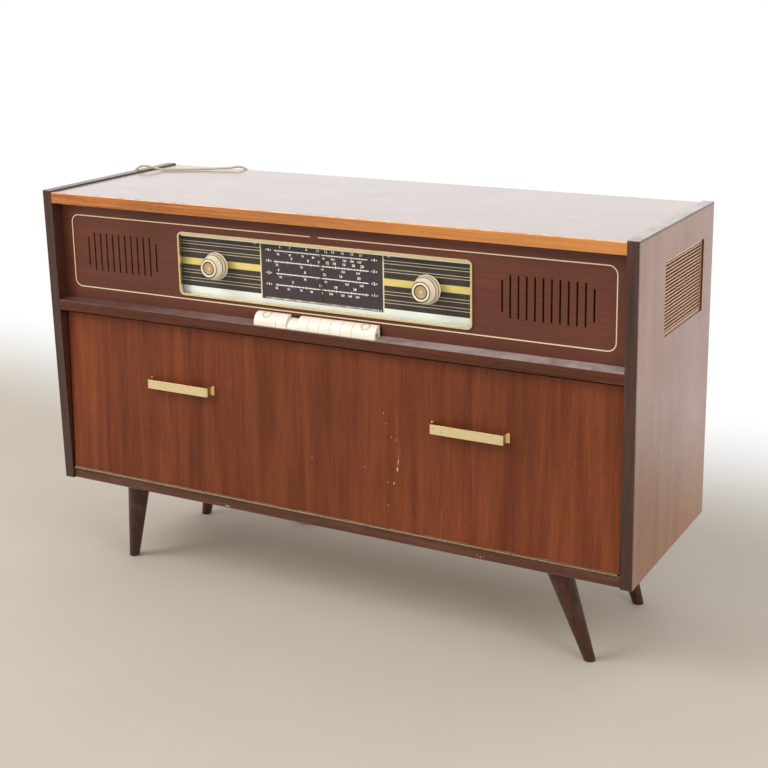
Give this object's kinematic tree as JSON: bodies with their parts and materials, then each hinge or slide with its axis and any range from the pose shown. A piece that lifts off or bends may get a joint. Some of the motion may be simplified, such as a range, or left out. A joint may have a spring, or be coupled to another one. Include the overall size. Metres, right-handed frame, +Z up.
{
  "type": "gramophone cabinet",
  "caption": "Long low radiogram cabinet on splayed tapered legs, with a radio and its dial above and a drop flap over a record player and record rack below.",
  "frame": {"origin": "on the floor, under the middle of the cabinet's box with its handles, without the mains lead", "axes": "+X to the right seen from the front, +Y to the back, +Z up"},
  "size_m": [1.2202, 0.4662, 0.7778],
  "materials": {
    "mahogany_veneer": "glossy lacquered mahogany veneer",
    "dark_wood": "dark stained and lacquered hardwood",
    "orange_wood": "lacquered lighter hardwood",
    "pale_wood": "plain sealed veneer",
    "hardboard": "bare hardboard",
    "cream_enamel": "cream stoving enamel",
    "gold_metal": "pale gold anodised and brassed strip",
    "zinc_steel": "zinc plated steel",
    "black_plastic": "black moulded plastic and paper",
    "clear_glass": "clear float glass",
    "dial_black": "screen printed dial plate",
    "grey_parts": "grey lacquered iron and aluminium",
    "cord_pvc": "smooth beige sheath",
    "plug_plastic": "cream moulded plastic",
    "red_plastic": "red acrylic",
    "platter_metal": "turned aluminium under a rubber mat",
    "ivory_plastic": "ivory moulded plastic"
  },
  "bodies": {
    "cabinet": {"side_panel_left": "mahogany_veneer", "side_panel_right": "mahogany_veneer", "side_lippings": "dark_wood", "top_panel": "mahogany_veneer", "top_front_lipping": "orange_wood", "bottom_panel": "pale_wood", "bottom_rail": "dark_wood", "back_panel": "hardboard", "fascia_panel": "dark_wood", "key_ledge": "dark_wood", "radio_shelf": "pale_wood", "compartment_divider": "pale_wood", "deck_plinth": "pale_wood", "deck_plate": "cream_enamel", "side_grille_left": "gold_metal", "side_grille_right": "gold_metal", "record_rack": "pale_wood", "leg_front_left": "dark_wood", "leg_front_right": "dark_wood", "leg_back_left": "dark_wood", "leg_back_right": "dark_wood", "leg_plates": "zinc_steel", "flap_hinge_fixed": "gold_metal", "flap_catches": "black_plastic", "stay_studs": "zinc_steel", "dial_frame": "gold_metal", "dial_glass": "clear_glass", "dial_plate": "dial_black", "key_frame": "zinc_steel", "radio_chassis": "zinc_steel", "valves_and_transformer": "grey_parts", "loudspeakers": "black_plastic", "deck_motor": "grey_parts", "cord_gland": "black_plastic", "mains_cord": "cord_pvc", "cord_coil": "cord_pvc", "mains_plug": "plug_plastic"},
    "flap": {"flap_panel": "mahogany_veneer", "flap_hinge_leaf": "gold_metal", "handle_left": "gold_metal", "handle_right": "gold_metal", "flap_fittings": "zinc_steel"},
    "stay_left": {"stay_left": "gold_metal"},
    "stay_right": {"stay_right": "gold_metal"},
    "volume_knob": {"volume_knob": "ivory_plastic"},
    "bass_ring": {"bass_ring": "ivory_plastic"},
    "tuning_knob": {"tuning_knob": "ivory_plastic"},
    "treble_ring": {"treble_ring": "ivory_plastic"},
    "dial_pointer": {"dial_pointer": "red_plastic"},
    "key_1": {"key_1": "ivory_plastic"},
    "key_2": {"key_2": "ivory_plastic"},
    "key_3": {"key_3": "ivory_plastic"},
    "key_4": {"key_4": "ivory_plastic"},
    "key_5": {"key_5": "ivory_plastic"},
    "key_6": {"key_6": "ivory_plastic"},
    "key_7": {"key_7": "ivory_plastic"},
    "key_8": {"key_8": "ivory_plastic"},
    "key_9": {"key_9": "ivory_plastic"},
    "platter": {"platter": "platter_metal"},
    "tonearm": {"tonearm": "ivory_plastic"}
  },
  "joints": [
    {"name": "flap_hinge", "type": "hinge", "parent": "cabinet", "child": "flap", "pos_m": [0, -0.187, 0.2045], "axis": [1, 0, 0], "range_deg": [0, 88]},
    {"name": "stay_left_pivot", "type": "hinge", "parent": "flap", "child": "stay_left", "pos_m": [-0.571, -0.15164, 0.35041], "axis": [1, 0, 0], "range_deg": [-45, 0]},
    {"name": "stay_right_pivot", "type": "hinge", "parent": "flap", "child": "stay_right", "pos_m": [0.571, -0.15164, 0.35041], "axis": [1, 0, 0], "range_deg": [-45, 0]},
    {"name": "volume_turn", "type": "hinge", "parent": "cabinet", "child": "volume_knob", "pos_m": [-0.218, -0.187, 0.6485], "axis": [0, 1, 0], "range_deg": [0, 285]},
    {"name": "bass_turn", "type": "hinge", "parent": "cabinet", "child": "bass_ring", "pos_m": [-0.218, -0.168, 0.6485], "axis": [0, 1, 0], "range_deg": [0, 285]},
    {"name": "tuning_turn", "type": "hinge", "parent": "cabinet", "child": "tuning_knob", "pos_m": [0.218, -0.187, 0.6485], "axis": [0, 1, 0], "range_deg": [-1080, 1080]},
    {"name": "treble_turn", "type": "hinge", "parent": "cabinet", "child": "treble_ring", "pos_m": [0.218, -0.168, 0.6485], "axis": [0, 1, 0], "range_deg": [0, 285]},
    {"name": "pointer_slide", "type": "slide", "parent": "cabinet", "child": "dial_pointer", "axis": [1, 0, 0], "range_m": [-0.121, 0.121]},
    {"name": "key_1_press", "type": "hinge", "parent": "cabinet", "child": "key_1", "pos_m": [-0.10225, -0.107, 0.562], "axis": [1, 0, 0], "range_deg": [0, 5], "stiffness_Nm_per_rad": 1.2, "springref_deg": -5.73},
    {"name": "key_2_press", "type": "hinge", "parent": "cabinet", "child": "key_2", "pos_m": [-0.0675, -0.107, 0.562], "axis": [1, 0, 0], "range_deg": [0, 5], "stiffness_Nm_per_rad": 1.2, "springref_deg": -5.73},
    {"name": "key_3_press", "type": "hinge", "parent": "cabinet", "child": "key_3", "pos_m": [-0.045, -0.107, 0.562], "axis": [1, 0, 0], "range_deg": [-5, 0]},
    {"name": "key_4_press", "type": "hinge", "parent": "cabinet", "child": "key_4", "pos_m": [-0.0225, -0.107, 0.562], "axis": [1, 0, 0], "range_deg": [0, 5], "stiffness_Nm_per_rad": 1.2, "springref_deg": -5.73},
    {"name": "key_5_press", "type": "hinge", "parent": "cabinet", "child": "key_5", "pos_m": [0, -0.107, 0.562], "axis": [1, 0, 0], "range_deg": [0, 5], "stiffness_Nm_per_rad": 1.2, "springref_deg": -5.73},
    {"name": "key_6_press", "type": "hinge", "parent": "cabinet", "child": "key_6", "pos_m": [0.0225, -0.107, 0.562], "axis": [1, 0, 0], "range_deg": [0, 5], "stiffness_Nm_per_rad": 1.2, "springref_deg": -5.73},
    {"name": "key_7_press", "type": "hinge", "parent": "cabinet", "child": "key_7", "pos_m": [0.045, -0.107, 0.562], "axis": [1, 0, 0], "range_deg": [0, 5], "stiffness_Nm_per_rad": 1.2, "springref_deg": -5.73},
    {"name": "key_8_press", "type": "hinge", "parent": "cabinet", "child": "key_8", "pos_m": [0.0675, -0.107, 0.562], "axis": [1, 0, 0], "range_deg": [0, 5], "stiffness_Nm_per_rad": 1.2, "springref_deg": -5.73},
    {"name": "key_9_press", "type": "hinge", "parent": "cabinet", "child": "key_9", "pos_m": [0.10225, -0.107, 0.562], "axis": [1, 0, 0], "range_deg": [0, 5], "stiffness_Nm_per_rad": 1.2, "springref_deg": -5.73},
    {"name": "platter_turn", "type": "hinge", "parent": "cabinet", "child": "platter", "pos_m": [-0.31, 0.028, 0.292], "axis": [0, 0, 1], "continuous": true},
    {"name": "arm_swing", "type": "hinge", "parent": "cabinet", "child": "tonearm", "pos_m": [-0.14, 0.123, 0.334], "axis": [0, 0, 1], "range_deg": [-46, 0]}
  ],
  "couplings": [
    {"joint": "stay_left_pivot", "follows": "flap_hinge", "ratio": -0.5},
    {"joint": "stay_right_pivot", "follows": "flap_hinge", "ratio": -0.5},
    {"joint": "pointer_slide", "follows": "tuning_turn", "m_per_rad": 0.0063662}
  ]
}
